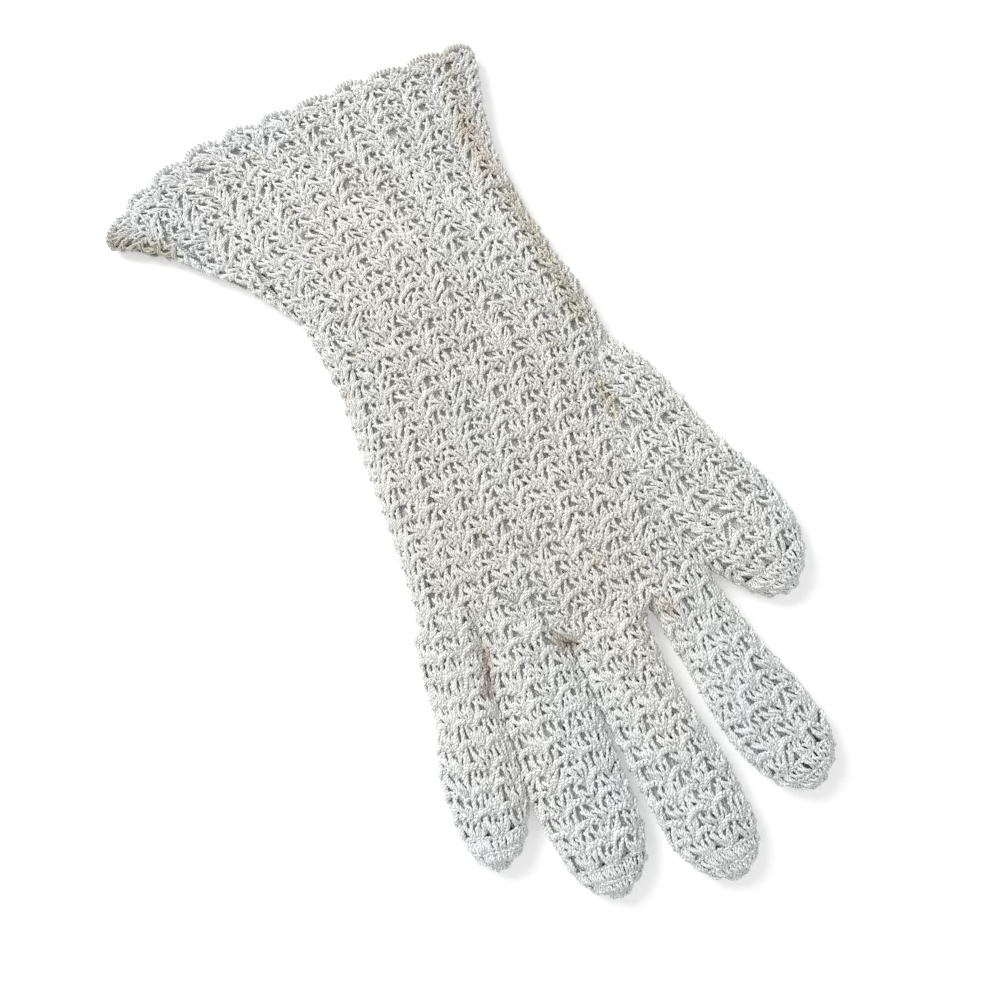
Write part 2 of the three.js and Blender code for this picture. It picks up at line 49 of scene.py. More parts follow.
# Outline of the glove, as in the solids
HAND_LENGTH = 103.0
HAND_HEIGHT = 9.6
WRIST_WIDTH = 73.6
WRIST_LEAN = 10.6
KNUCKLE_WIDTH = 79.6
FOLD_HEIGHT = 0.9
FOLD_WIDTH = 7.0
PRESSED_DEPTH = 1.3
CUFF_LENGTH = 71.0
EDGING_DEPTH = 5.6
SCALLOP_DEPTH = 2.6
HEM_WIDTH = 125.0
HEM_LEAN = 5.6
HEM_HEIGHT = 8.0
HEM_SWEEP_LITTLE = 14.6
HEM_SWEEP_THUMB = 4.5
SWEEP_SHARPNESS = 4.5
FINGER_HEIGHT = 8.4
KNUCKLE_BLEND = 16.0
FINGER_LENGTH = 72.5
FINGER_WIDTH = 25.0
THUMB_CROTCH = 3.0
THUMB_LENGTH = 60.0
THUMB_WIDTH = 27.0
THUMB_SPLAY = 11.2
THUMB_RISE = 42.0
THUMB_ROOT_OUT = 5.7
THUMB_ROOT_REACH = 32.0
HAND_SQUARENESS = 2.7
FINGER_SQUARENESS = 2.4

# Crochet: rows along each piece and shells round it
HAND_ROWS = 20
HAND_SHELLS = 17.6
CUFF_ROWS = 14
CUFF_SHELLS = 22
FINGER_ROW = 5.6
FINGER_SHELLS = 7

# Plain rounds over a fingertip: where they begin and end, as shares of the tip's length from
# its start, and for each round its stitches and how far they are raised. A low dome closes
# the end: how far it stands out, the turns of its rings and how small the last one is.
TIP_LENGTH = 12.0
TIP_EDGES = (0.0, 0.36, 0.70, 0.98)
TIP_ROUNDS = ((22, -0.1), (18, 0.2), (12, 0.4))
TIP_DOME = 0.5
DOME_TURNS = (0.2, 0.4, 0.6, 0.8)
DOME_LAST = 0.04

# Radius of the thread, and how far the cloth's middle lies under the outer face
THREAD = 0.42
SKIN = 0.85

# How far the rounds tilt towards the fingers on the thumb's side, and how far past the wrist
# the hand and the cuff are followed for it, as a share of the hand's length
ROUND_TILT = 0.085
WRIST_OVERLAP = 0.06

# Where the hand's and the cuff's surfaces end, past their last rows, as shares of their length
HAND_END = 1.08
CUFF_END = 1.04

# Points of a surface grid round a section, and how far apart its rings are
GRID_ROUND = 240
GRID_STEP = 0.9


def table(names, rows):
    """Columns of numbers by name."""
    return dict(zip(names.split(), np.array(rows, float).T))


HAND_EDGES = table("along left right fold", [
    (0.00, 0.00, 0.00, 1.0),
    (0.12, -0.20, 0.00, 1.0),
    (0.27, -0.16, 0.16, 1.0),
    (0.41, 0.60, 0.27, 1.0),
    (0.52, 1.04, 0.39, 0.9),
    (0.65, 1.14, 0.55, 0.7),
    (0.76, 1.20, 0.72, 0.5),
    (0.85, 1.20, 0.95, 0.3),
    (1.00, 1.00, 1.02, 0.1),
])

CUFF_EDGES = table("along left right sweep", [
    (0.00, 0.00, 0.000, 0.00),
    (0.14, -0.05, 0.010, 0.02),
    (0.25, -0.05, 0.070, 0.07),
    (0.50, 0.09, 0.330, 0.25),
    (0.75, 0.60, 0.615, 0.56),
    (0.90, 1.02, 0.845, 0.81),
    (1.00, 1.00, 1.000, 1.00),
])

THUMB_EDGES = table("along left right height", [
    (-1.00, -0.30, 0.50, 0.80),
    (-0.33, -0.47, 0.60, 1.00),
    (0.00, -0.48, 0.62, 1.00),
    (0.25, -0.50, 0.62, 1.00),
    (0.50, -0.58, 0.56, 1.00),
    (0.72, -0.56, 0.48, 0.97),
    (0.85, -0.49, 0.37, 0.92),
    (0.95, -0.33, 0.23, 0.80),
    (1.00, -0.12, 0.05, 0.55),
])

# Each finger: share of the knuckles' width, of the widest width and of the longest length,
# slant in degrees, crotch beyond it as a share of the hand's length, and its edges.
FINGERS = [
    {
        "name": "index_finger", "knuckle": 0.229, "width": 0.96, "length": 0.866,
        "splay": 5.2, "crotch": 0.0,
        "edges": table("along left right height", [
            (0.00, -0.400, 0.380, 1.00),
            (0.18, -0.385, 0.410, 1.00),
            (0.40, -0.425, 0.455, 1.00),
            (0.60, -0.500, 0.490, 1.00),
            (0.78, -0.520, 0.450, 0.97),
            (0.90, -0.465, 0.360, 0.90),
            (0.96, -0.360, 0.230, 0.78),
            (1.00, -0.170, 0.060, 0.55),
        ]),
    },
    {
        "name": "middle_finger", "knuckle": 0.326, "width": 0.94, "length": 1.0,
        "splay": -0.8, "crotch": 0.03,
        "edges": table("along left right height", [
            (0.00, -0.50, 0.50, 1.00),
            (0.15, -0.40, 0.50, 1.00),
            (0.35, -0.40, 0.52, 1.00),
            (0.60, -0.48, 0.52, 1.00),
            (0.80, -0.46, 0.51, 0.97),
            (0.90, -0.42, 0.42, 0.90),
            (0.96, -0.32, 0.30, 0.78),
            (1.00, -0.14, 0.12, 0.55),
        ]),
    },
    {
        "name": "ring_finger", "knuckle": 0.199, "width": 1.0, "length": 0.99,
        "splay": -6.4, "crotch": 0.175,
        "edges": table("along left right height", [
            (0.00, -0.40, 0.460, 1.00),
            (0.20, -0.45, 0.520, 1.00),
            (0.45, -0.45, 0.530, 1.00),
            (0.62, -0.45, 0.565, 1.00),
            (0.80, -0.43, 0.490, 0.97),
            (0.90, -0.37, 0.430, 0.90),
            (0.96, -0.25, 0.310, 0.78),
            (1.00, -0.08, 0.140, 0.55),
        ]),
    },
    {
        "name": "little_finger", "knuckle": 0.246, "width": 0.84, "length": 0.83,
        "splay": -14.2, "crotch": 0.165,
        "edges": table("along left right height", [
            (0.00, -0.410, 0.450, 1.00),
            (0.20, -0.380, 0.455, 1.00),
            (0.36, -0.400, 0.430, 1.00),
            (0.60, -0.485, 0.520, 1.00),
            (0.75, -0.485, 0.480, 0.97),
            (0.88, -0.400, 0.400, 0.90),
            (0.96, -0.240, 0.300, 0.78),
            (1.00, -0.060, 0.120, 0.55),
        ]),
    },
]

wrist_edges = (-WRIST_LEAN - WRIST_WIDTH / 2, -WRIST_LEAN + WRIST_WIDTH / 2)
knuckle_edges = (-KNUCKLE_WIDTH / 2, KNUCKLE_WIDTH / 2)
hem_edges = (HEM_LEAN - HEM_WIDTH / 2, HEM_LEAN + HEM_WIDTH / 2)

knuckle_line = [(-KNUCKLE_WIDTH / 2, HAND_LENGTH - THUMB_CROTCH)]
for finger in FINGERS:
    step = finger["knuckle"] * KNUCKLE_WIDTH
    knuckle_line.append((knuckle_line[-1][0] + step, HAND_LENGTH * (1 - finger["crotch"])))
knuckle_line = np.array(knuckle_line)


def column(columns, name, along):
    """Values of a column at places along it, on the same smooth curve as in the solids."""
    places, values = columns["along"], columns[name]
    slopes = np.empty_like(values)
    slopes[1:-1] = (values[2:] - values[:-2]) / (places[2:] - places[:-2])
    slopes[0] = (values[1] - values[0]) / (places[1] - places[0])
    slopes[-1] = (values[-1] - values[-2]) / (places[-1] - places[-2])
    k = np.clip(np.searchsorted(places, along) - 1, 0, len(places) - 2)
    span = places[k + 1] - places[k]
    t = np.clip((along - places[k]) / span, 0, 1)
    rise = values[k + 1] - values[k]
    start_bend = slopes[k] * span - rise
    end_bend = rise - slopes[k + 1] * span
    return values[k] + t * rise + t * (1 - t) * ((1 - t) * start_bend + t * end_bend)


def signed_power(value, power):
    return np.sign(value) * np.abs(value) ** power


# Sections across each piece


def hand_section(along):
    growth = [knuckle - wrist for knuckle, wrist in zip(knuckle_edges, wrist_edges)]
    left = wrist_edges[0] + column(HAND_EDGES, "left", along) * growth[0]
    right = wrist_edges[1] + column(HAND_EDGES, "right", along) * growth[1]
    return {
        "y": along * HAND_LENGTH, "left": left, "right": right, "height": HAND_HEIGHT,
        "fold": column(HAND_EDGES, "fold", along), "sweep": 0.0, "squareness": HAND_SQUARENESS,
    }


def cuff_section(along):
    left = wrist_edges[0] + column(CUFF_EDGES, "left", along) * (hem_edges[0] - wrist_edges[0])
    right = wrist_edges[1] + column(CUFF_EDGES, "right", along) * (hem_edges[1] - wrist_edges[1])
    height = HAND_HEIGHT + (HEM_HEIGHT - HAND_HEIGHT) * along
    return {
        "y": -along * (CUFF_LENGTH + EDGING_DEPTH), "left": left, "right": right,
        "height": height, "fold": 1.0, "sweep": column(CUFF_EDGES, "sweep", along),
        "squareness": HAND_SQUARENESS,
    }


def finger_section(finger, along):
    place = max(along, 0.0)
    width = finger["width"] * FINGER_WIDTH
    return {
        "y": along * finger["length"] * FINGER_LENGTH,
        "left": column(finger["edges"], "left", place) * width,
        "right": column(finger["edges"], "right", place) * width,
        "height": column(finger["edges"], "height", place) * FINGER_HEIGHT,
        "fold": 0.0, "sweep": 0.0, "squareness": FINGER_SQUARENESS,
    }


def thumb_section(along):
    reach = THUMB_ROOT_REACH if along < 0 else THUMB_LENGTH
    return {
        "y": along * reach,
        "left": column(THUMB_EDGES, "left", along) * THUMB_WIDTH,
        "right": column(THUMB_EDGES, "right", along) * THUMB_WIDTH,
        "height": column(THUMB_EDGES, "height", along) * FINGER_HEIGHT,
        "fold": 0.0, "sweep": 0.0, "squareness": FINGER_SQUARENESS,
    }


def section_ring(section):
    """Points round a section, even along it: over the back from the thumb's side, and under."""
    angle = math.pi - np.linspace(0, 2 * math.pi, 4 * GRID_ROUND + 1)
    across = signed_power(np.cos(angle), 2 / section["squareness"])
    up = signed_power(np.sin(angle), 2 / section["squareness"])
    centre = (section["left"] + section["right"]) / 2
    half_width = (section["right"] - section["left"]) / 2
    half_height = (section["height"] + PRESSED_DEPTH) / 2
    x = centre + half_width * across
    distance = np.abs(x - section["left"] - FOLD_WIDTH / 2) / FOLD_WIDTH
    fold = section["fold"] * FOLD_HEIGHT * np.clip(1 - distance ** 2, 0, None)
    lift = np.where(up > 0, fold, 0)
    z = np.maximum(half_height - PRESSED_DEPTH + (half_height + lift) * up, 0)
    swept = np.where(
        across > 0,
        HEM_SWEEP_LITTLE * np.clip(across, 0, None) ** SWEEP_SHARPNESS,
        -HEM_SWEEP_THUMB * across,
    )
    y = section["y"] + section["sweep"] * swept
    points = np.stack([x, y, z], axis=1)
    steps = np.linalg.norm(np.diff(points, axis=0), axis=1)
    length = np.concatenate([[0], np.cumsum(steps)])
    even = np.linspace(0, length[-1], GRID_ROUND, endpoint=False)
    return np.stack([np.interp(even, length, points[:, axis]) for axis in range(3)], axis=1)


def placement(x, y, degrees):
    """Matrix that turns a piece and puts its root at a place in the row frame."""
    turn = Matrix.Rotation(math.radians(degrees), 4, "Z")
    return np.array(Matrix.Translation((x + WRIST_PLACE[0], y + WRIST_PLACE[1], 0)) @ turn)


# How far the cloth has been pulled unevenly, in millimetres: round, along and up
PULL_ROUND = 0.7
PULL_ALONG = 0.35
PULL_UP = 0.16


class Surface:
    """The outer face of a tube. Places on it are turns round it and millimetres along it."""

    def __init__(self, rings, matrix, tilt=(0, 0)):
        points = np.array(rings) @ matrix[:3, :3].T + matrix[:3, 3]
        gaps = np.linalg.norm(np.diff(points, axis=0), axis=2).mean(axis=1)
        self.points = points
        self.reach = np.concatenate([[0], np.cumsum(gaps)])
        across = np.roll(points, -1, axis=1) - np.roll(points, 1, axis=1)
        along = np.gradient(points, axis=0)
        self.perimeter = np.linalg.norm(across, axis=2).sum(axis=1).mean() / 2
        self.drifts = [Drift(self.perimeter) for _ in range(3)]
        self.tilt = np.linspace(tilt[0], tilt[1], len(self.reach))
        normals = np.cross(across, along)
        self.normals = normals / np.linalg.norm(normals, axis=2, keepdims=True)

    def drifted(self, around, along, height):
        """Places moved a little, unevenly, as the cloth has been pulled."""
        moved = around + PULL_ROUND / self.perimeter * self.drifts[0](around, along)
        height = height - SKIN + PULL_UP * self.drifts[2](around, along)
        return moved, along + PULL_ALONG * self.drifts[1](around, along), height

    def sample(self, grid, around, along):
        """Values of a grid between its points."""
        rows = np.interp(along, self.reach, np.arange(len(self.reach)))
        k = np.clip(rows.astype(int), 0, len(self.reach) - 2)
        t = (rows - k)[..., None]
        columns = np.mod(around, 1.0) * GRID_ROUND
        i = columns.astype(int) % GRID_ROUND
        s = (columns - np.floor(columns))[..., None]
        j = (i + 1) % GRID_ROUND
        low = grid[k, i] * (1 - s) + grid[k, j] * s
        high = grid[k + 1, i] * (1 - s) + grid[k + 1, j] * s
        return low * (1 - t) + high * t

    def tilted(self, around, along):
        """Places along, moved as the rounds tilt between the thumb's side and the other."""
        off_middle = (0.25 - np.abs(np.mod(around, 1.0) - 0.5)) * self.perimeter
        return along - np.interp(along, self.reach, self.tilt) * off_middle

    def at(self, around, along, height):
        """Points at heights over the face, and its normals there."""
        along = self.tilted(around, along)
        normals = self.sample(self.normals, around, along)
        normals /= np.linalg.norm(normals, axis=-1, keepdims=True)
        return self.sample(self.points, around, along) + normals * height[..., None], normals


def stations(start, end, length):
    """Places for rings, about a grid step apart."""
    return np.linspace(start, end, max(2, round(length / GRID_STEP)) + 1)


def closed_tip(ring):
    """Rings that close a tube's end in a low dome, the last one almost a point."""
    centre = ring.mean(axis=0)
    rings = []
    for turn in np.array(DOME_TURNS) * math.pi / 2:
        shrunk = centre + (ring - centre) * math.cos(turn)
        shrunk[:, 1] += TIP_DOME * math.sin(turn)
        rings.append(shrunk)
    last = centre + (ring - centre) * DOME_LAST
    last[:, 1] += TIP_DOME
    return rings + [last]


def hand_surface():
    rings = [section_ring(hand_section(a)) for a in stations(-WRIST_OVERLAP, HAND_END, HAND_LENGTH)]
    return Surface(rings, placement(0, 0, 0), (ROUND_TILT, ROUND_TILT))


def cuff_surface():
    total = CUFF_LENGTH + EDGING_DEPTH
    overlap = WRIST_OVERLAP * HAND_LENGTH / total
    rings = [section_ring(cuff_section(a)) for a in stations(CUFF_END, -overlap, total)]
    return Surface(rings, placement(0, 0, 0), (0, ROUND_TILT))


def finger_placement(k):
    base = (knuckle_line[k] + knuckle_line[k + 1]) / 2
    return placement(base[0], base[1], FINGERS[k]["splay"])


def finger_behind(k):
    """How far behind its root a finger's tube starts, as a share of its length."""
    slant = abs(knuckle_line[k][1] - knuckle_line[k + 1][1])
    return (slant / 2 + FINGER_ROW) / (FINGERS[k]["length"] * FINGER_LENGTH)


def finger_surface(k):
    finger = FINGERS[k]
    places = stations(-finger_behind(k), 1.0, finger["length"] * FINGER_LENGTH)
    rings = [section_ring(finger_section(finger, a)) for a in places]
    for ring in rings:
        rise = np.clip(1 - ring[0, 1] / KNUCKLE_BLEND, 0, 1)
        ring[:, 2] *= 1 + (HAND_HEIGHT / FINGER_HEIGHT - 1) * rise
    return Surface(rings + closed_tip(rings[-1]), finger_placement(k))


thumb_root = (knuckle_edges[0] - THUMB_ROOT_OUT, HAND_LENGTH - THUMB_CROTCH - THUMB_RISE)


def thumb_surface():
    gusset = stations(-1.0, 0.0, THUMB_ROOT_REACH)[:-1]
    places = np.concatenate([gusset, stations(0.0, 1.0, THUMB_LENGTH)])
    rings = [section_ring(thumb_section(a)) for a in places]
    matrix = placement(thumb_root[0], thumb_root[1], THUMB_SPLAY)
    return Surface(rings + closed_tip(rings[-1]), matrix)


# Strands of thread

# A tall stitch of a shell, from the hole it is worked into to the chain on top: place along
# the row, height over the cloth, and how far inner and outer stitches lie from the middle.
POST = table("place height inner outer", [
    (-0.24, -1.00, 0.01, 0.03),
    (-0.02, -0.30, 0.04, 0.13),
    (0.18, 0.25, 0.07, 0.26),
    (0.42, 0.45, 0.10, 0.35),
    (0.68, 0.35, 0.13, 0.40),
    (0.97, 0.10, 0.16, 0.42),
])

# Its two strands wind round each other, this far across and up from its middle, with this
# many turns a row. From the node on they part: places along, and shares of those distances.
LEG_GAP = 0.052
LEG_DEPTH = 0.22
LEG_TURNS = 0.8
LEG_OPENING = ((-0.2, 0.3), (0.3, 1))

# The slanted strand round the front of it: places along, reach to either side, and height
WRAP_PLACES = np.array([0.24, 0.38, 0.52, 0.66])
WRAP_REACH = 0.10
WRAP_HEIGHT = 0.8
WRAP_DROP = 0.7

# The chain on top: height, how far its strands wind up and down, and how far and wide the
# next row's stitches pull it down at the node
CHAIN_HEIGHT = 0.62
CHAIN_DEPTH = 0.32
CHAIN_POINTS = 5
NODE_DEPTH = 1.15
NODE_WIDTH = 0.13

# The far side of the stitches: places along it, and its outer edge and the slit in its middle
# as they open from the node
BACK_PLACES = (-0.05, 0.2, 0.5, 0.8, 0.97)
BACK_EDGE = ((-0.05, 0.1, 0.45), (0.30, 0.45, 0.53))
BACK_SLIT = ((0.1, 0.4), (0, 1))
BACK_FLUTES = 7
BACK_HEIGHT = -0.62
FLUTE_DEPTH = 0.2
SHELL_SLIT = 0.03

# Tall stitches of a shell: which side they lean to, and 0 for inner to 1 for outer
SHELL_FAN = ((-1, 1.0), (-1, 0.0), (1, 0.0), (1, 1.0))
HEM_FAN = ((-1, 1.0), (-1, 0.5), (-1, 0.0), (1, 0.0), (1, 0.5), (1, 1.0))

# The chain on top arches up from the middle of one shell to the middle of the next, where
# the stitches of the next row pull it down. On the hem it falls away to the shell's sides.
SHELL_ARCH = {"rise": 0.46, "fall": 0.0}
HEM_ARCH = {"rise": 0.0, "fall": SCALLOP_DEPTH / EDGING_DEPTH}
ARCH_LEVEL = 0.6
FALL_POWER = 2.4


def arch_height(across, arch):
    """How far along the row the chain lies, at places across a shell."""
    side = np.abs(2 * across)
    rise = arch["rise"] * (np.sin(math.pi / 2 * side) - ARCH_LEVEL)
    return 1 + rise - arch["fall"] * side ** FALL_POWER


def post_across(post):
    """How far a tall stitch lies from the middle of its shell, at the places of POST."""
    hand, share = post
    return hand * (POST["inner"] + share * (POST["outer"] - POST["inner"]))


def shell_posts(fan, arch):
    """The tall stitches of a shell, two strands each: across, along and height."""
    strands = []
    for post in fan:
        across = post_across(post)
        reach = np.where(POST["place"] > 0, arch_height(across[-1], arch), 1)
        for side in (-1, 1):
            opening = np.interp(POST["place"], *LEG_OPENING)
            turn = 2 * math.pi * LEG_TURNS * (POST["place"] - POST["place"][0])
            shifted = across + side * LEG_GAP * opening * np.cos(turn)
            height = POST["height"] + side * LEG_DEPTH * opening * np.sin(turn)
            strands.append(np.stack([shifted, POST["place"] * reach, height], axis=1))
    return np.array(strands)


def shell_wraps(fan, arch):
    """The short slanted strand that winds round the front of each tall stitch."""
    strands = []
    t = np.linspace(-1, 1, len(WRAP_PLACES))
    for post in fan:
        across = np.interp(WRAP_PLACES, POST["place"], post_across(post))
        reach = arch_height(across[-1], arch)
        height = WRAP_HEIGHT - WRAP_DROP * t ** 2
        strands.append(np.stack([across + WRAP_REACH * t, WRAP_PLACES * reach, height], axis=1))
    return np.array(strands)


def shell_chain(arch, loops, reach):
    """The chain along the top of a shell, two strands winding round each other."""
    across = np.linspace(-0.5, 0.5, CHAIN_POINTS * loops + 1)
    turn = 2 * math.pi * loops * (across + 0.5)
    pull = NODE_DEPTH * np.exp(-(across / NODE_WIDTH) ** 2) if arch["rise"] else 0
    strands = []
    for start in (0, math.pi):
        along = arch_height(across, arch) + reach * np.cos(turn + start)
        height = CHAIN_HEIGHT - pull + CHAIN_DEPTH * np.sin(turn + start)
        strands.append(np.stack([across, along, height], axis=1))
    return np.array(strands)


def shell_backs(arch, slit):
    """The far side of a shell's stitches, two fluted patches: rows of across, along, height."""
    flutes = np.linspace(0, 1, BACK_FLUTES)
    halves = []
    for hand in (-1, 1):
        rows = []
        for place in BACK_PLACES:
            inside = slit * np.interp(place, *BACK_SLIT)
            outside = np.interp(place, *BACK_EDGE)
            across = hand * (inside + flutes * (outside - inside))
            height = BACK_HEIGHT + FLUTE_DEPTH * np.cos(math.pi * np.arange(BACK_FLUTES))
            rows.append(np.stack([across, place * arch_height(across, arch), height], axis=1))
        halves.append(rows)
    return np.array(halves)


def shell_strands(fan, arch, loops=4, reach=0.125):
    """Strands of one shell, with how freely each kind moves."""
    chain = shell_chain(arch, loops, reach)
    return [(shell_posts(fan, arch), 1.0), (shell_wraps(fan, arch), 1.0), (chain, 0.0)]


def plain_strands(raised):
    """Strands of one plain tall stitch: two legs, a wrap round them and a loop of chain."""
    place = np.array([-0.15, 0.1, 0.4, 0.7, 0.95])
    height = raised + np.array([-0.5, 0.3, 0.5, 0.4, 0.1])
    apart = np.full(len(place), 0.22)
    legs = [np.stack([side * apart, place, height], axis=1) for side in (-1, 1)]
    t = np.linspace(-1, 1, 4)
    wrap = np.stack([0.45 * t, 0.5 + 0.26 * t, raised + 1.0 - 0.8 * t ** 2], axis=1)
    across = np.linspace(-0.5, 0.5, 5)
    turn = 2 * math.pi * (across + 0.5)
    loop = []
    for start in (0, math.pi):
        height = raised + 0.3 * np.sin(turn + start)
        loop.append(np.stack([across, 1 + 0.10 * np.cos(turn + start), height], axis=1))
    return [(np.array(legs), 1.0), (wrap[None], 1.0), (np.array(loop), 0.0)]


# The shortest wave of a drift round a tube, in millimetres, and its fastest rate along it
SHORT_WAVE = 16
FAST_RATE = 0.40


class Drift:
    """A smooth uneven wave over a surface, about 1 high."""

    def __init__(self, perimeter, waves=7):
        self.turns = rng.integers(1, max(3, int(perimeter / SHORT_WAVE)), waves)
        self.rate = rng.uniform(-FAST_RATE, FAST_RATE, waves)
        self.start = rng.uniform(0, 2 * math.pi, waves)

    def __call__(self, around, along):
        total = 0
        for turns, rate, start in zip(self.turns, self.rate, self.start):
            total = total + np.sin(2 * math.pi * turns * around + rate * along + start)
        return total / math.sqrt(len(self.turns))


# The most and the least widths of a stitch, left over at the end of a row, that one more
# stitch can close
MOST_FILLED = 1.5
LEAST_FILLED = 0.2


def stitch_places(rows):
    """Turns round, base along, depth, width and slant of each stitch in some rows.

    A row may hold a broken number of stitches. They are counted from the thumb's side on both
    faces, and what is left over at the other edge is closed by one or two stitches.
    """
    stitches = []
    for row in rows:
        whole = int(row["count"] / 2)
        width = 1 / row["count"]
        widening = 1 / row.get("next_count", row["count"]) - width
        fixed = (row["base"], row["base"] - row["top"])
        for k in range(whole):
            slant = (k + 0.5) * widening
            stitches.append(((k + 0.5) * width, *fixed, width, slant))
            stitches.append((1 - (k + 0.5) * width, *fixed, width, -slant))
        left_over = 1 - 2 * whole * width
        if left_over > MOST_FILLED * width:
            stitches.append((0.5 - left_over / 4, *fixed, left_over / 2, whole * widening))
            stitches.append((0.5 + left_over / 4, *fixed, left_over / 2, -whole * widening))
        elif left_over > LEAST_FILLED * width:
            stitches.append((0.5, *fixed, left_over, 0))
    return np.array(stitches)


def kept_places(surface, places, keep):
    """The stitches whose middles are kept by a test of their points and normals."""
    middle = places[:, 1] - places[:, 2] / 2
    centre, normal = surface.at(places[:, 0], middle, np.zeros(len(places)))
    return places[keep(centre, normal)]


# How far the stitches stray. For a whole stitch: how it leans, spreads, shifts, is lifted and
# swells along the row. For each strand: how it sways, bows and rises. For a patch: its width.
STRAY = {
    "lean": 0.09, "spread": 0.08, "shift": 0.03, "lift": 0.10, "swell": 0.06,
    "sway": 0.030, "bow": 0.030, "rise": 0.12, "width": 0.04,
}


def lay(surface, places, kinds, backs=()):
    """Tubes and patches of stitches laid over a surface."""
    around, base, depth, width, slant = (column[:, None, None] for column in places.T)
    count = len(places)
    lean = rng.normal(0, STRAY["lean"], (count, 1, 1))
    spread = rng.normal(1, STRAY["spread"], (count, 1, 1))
    shift = rng.normal(0, STRAY["shift"], (2, count, 1, 1))
    lift = rng.normal(0, STRAY["lift"], (count, 1, 1))
    swell = rng.normal(0, STRAY["swell"], (count, 1, 1))
    parts = []
    for template, looseness in kinds:
        across, along, height = (template[None, :, :, axis] for axis in range(3))
        place = np.linspace(0, 1, template.shape[1])
        each = (count, len(template), 1)
        sway = rng.normal(0, STRAY["sway"], each) * place * looseness
        bow = rng.normal(0, STRAY["bow"], each) * np.sin(math.pi * place)
        across = across * (1 + (spread - 1) * looseness) + sway + bow * looseness
        across = across + looseness * (lean * (along - 0.5) + shift[0])
        along = along + looseness * shift[1]
        crown = np.cos(math.pi * np.clip(across, -0.5, 0.5))
        along = along + swell * crown * np.clip(along, 0, 1)
        height = height + lift + rng.normal(0, STRAY["rise"], each)
        u = around + across * width + slant * along
        v = base - along * depth
        u, v, height = surface.drifted(*np.broadcast_arrays(u, v, height))
        centres, normals = surface.at(u, v, height)
        k = centres.shape[2]
        strands = (centres.reshape(-1, k, 3), normals.reshape(-1, k, 3), height.reshape(-1, k))
        parts.append(("tube", *strands))
    for half in backs:
        across, along, height = (half[None, :, :, axis] for axis in range(3))
        reach = rng.normal(1.0, STRAY["width"], (count, 1, 1))
        u = around + (across * reach + 0.5 * shift[0]) * width + slant * along
        v = base - along * depth
        u, v, height = surface.drifted(*np.broadcast_arrays(u, v, height + lift))
        parts.append(("patch", surface.at(u, v, height)[0], None, height))
    return parts


# Colour by place, with painted shade on deep strands

# Stained places: two ends of each stain, how far it spreads, how strong it is and its colour
STAINS = table("x0 y0 x1 y1 reach strength red green blue", [
    (-46.0, -116.0, -42.0, -94.0, 4.2, 0.60, 0.79, 0.75, 0.65),
    (-41.0, -92.0, -41.0, -78.0, 3.6, 0.75, 0.80, 0.70, 0.62),
    (-43.0, -70.0, -42.5, -26.0, 3.2, 0.75, 0.76, 0.74, 0.62),
    (68.0, -110.0, 54.0, -99.0, 3.8, 0.95, 0.62, 0.57, 0.45),
    (-56.0, -118.0, -30.0, -121.0, 3.5, 0.35, 0.80, 0.74, 0.66),
    (6.7, 51.5, 4.0, 54.0, 2.2, 0.75, 0.56, 0.48, 0.38),
    (24.9, 44.8, 29.9, 55.3, 1.6, 0.80, 0.62, 0.50, 0.46),
    (-22.7, 56.7, -24.0, 59.0, 2.0, 0.60, 0.60, 0.52, 0.42),
    (-37.6, -5.7, -37.0, 4.5, 2.2, 0.55, 0.66, 0.60, 0.42),
    (26.8, -35.6, 27.5, -34.0, 1.8, 0.50, 0.68, 0.60, 0.48),
])

# Small faint marks: how many, where they may lie, their reach and strength, and two colours
# that they are mixed from
SPOTS = 90
SPOTS_ACROSS = (-60, 65)
SPOTS_ALONG = (-120, 60)
SPOT_REACH = (0.5, 1.4)
SPOT_STRENGTH = (0.1, 0.5)
SPOT_BROWN = np.array([0.72, 0.60, 0.48])
SPOT_GREEN = np.array([0.66, 0.66, 0.48])

# A stain shows in full from this height over the floor up, and least on the floor
STAIN_HEIGHT = 5
STAIN_LEAST = 0.45

# The cotton is creamy along the middle of the hand and paler and cooler away from it. It is
# creamy up to WARM_FLAT of the reach from the middle line, and cool one reach further out.
WARM_START = np.array([-14.0, -60.0])
WARM_END = np.array([0.0, 25.0])
WARM_REACH = 42.0
WARM_FLAT = 0.6
WARM_TONE = np.array([1.0, 0.990, 0.950])
COOL_TONE = np.array([0.985, 1.0, 1.0])

# How far warmth and tone drift over the glove, over what width, and how fast along it
WARMTH_DRIFT = 0.008
WARMTH_PACE = 0.35
TONE_DRIFT = 0.010
TONE_PACE = 0.5
TONE_SPAN = 260
DRIFT_SIZE = 150
DRIFT_WAVES = 9

# Painted shade on strands that lie deep between the stitches: how much darker they are painted
# for each millimetre, from which height down and over how many millimetres; and how far single
# strands differ in tone
DEEP_SHADE = 0.16
DEEP_HEIGHT = -0.6
DEEP_SPAN = 1.2
STRAND_TONE = 0.045


def near(points, start, end):
    """Distance in plan from points to the line between two places."""
    way = end - start
    offset = points[..., :2] - start
    share = np.clip((offset @ way) / max(way @ way, 1e-6), 0, 1)
    return np.linalg.norm(offset - share[..., None] * way, axis=-1)


def make_spots():
    """Small faint marks here and there: a place, a reach and a colour."""
    places = [rng.uniform(*SPOTS_ACROSS, SPOTS), rng.uniform(*SPOTS_ALONG, SPOTS)]
    reach = rng.uniform(*SPOT_REACH, SPOTS)
    strength = rng.uniform(*SPOT_STRENGTH, SPOTS)
    hue = rng.uniform(0, 1, (SPOTS, 1))
    colour = (1 - hue) * SPOT_BROWN + hue * SPOT_GREEN
    return np.stack(places, axis=1), reach, strength, colour


spot_places, spot_reach, spot_strength, spot_colours = make_spots()
tone_drifts = (Drift(DRIFT_SIZE, DRIFT_WAVES), Drift(DRIFT_SIZE, DRIFT_WAVES))


